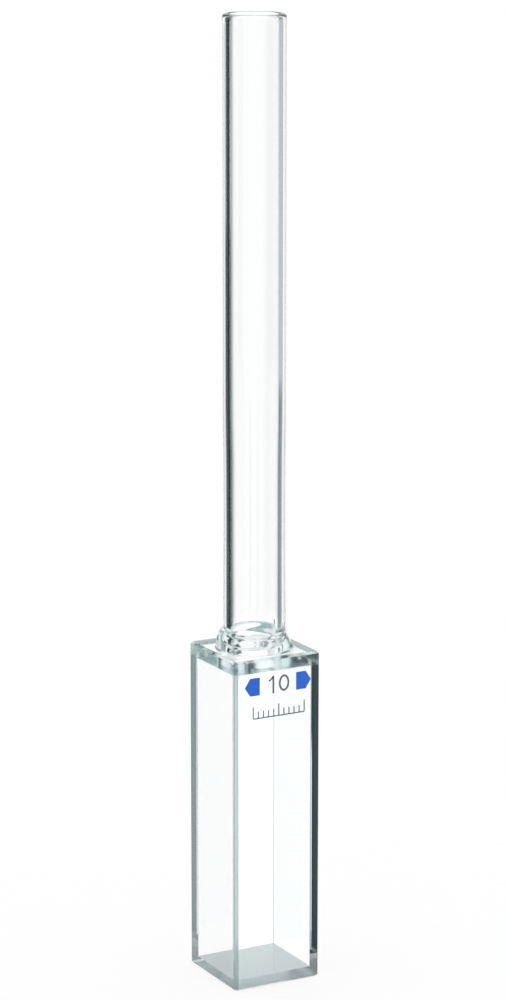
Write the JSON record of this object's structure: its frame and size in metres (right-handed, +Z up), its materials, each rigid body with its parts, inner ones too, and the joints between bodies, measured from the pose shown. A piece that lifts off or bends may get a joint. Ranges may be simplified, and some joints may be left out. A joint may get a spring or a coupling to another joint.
{
  "type": "long-neck cuvette",
  "caption": "Clear fused-quartz square cuvette with a flat lid plate and a long round filling tube flame-sealed on top.",
  "frame": {"origin": "centre of the underside of the base plate, on the surface the cell stands on", "axes": "+Z up along the filling tube; the window with the light path mark faces -Y"},
  "size_m": [0.0126, 0.0126, 0.1275],
  "materials": {
    "quartz": "polished clear fused quartz, faintly grey-green through its edges",
    "blue_enamel": "fired blue enamel print",
    "grey_enamel": "fired grey enamel print"
  },
  "bodies": {
    "root": {"cuvette": "quartz"}
  },
  "joints": []
}
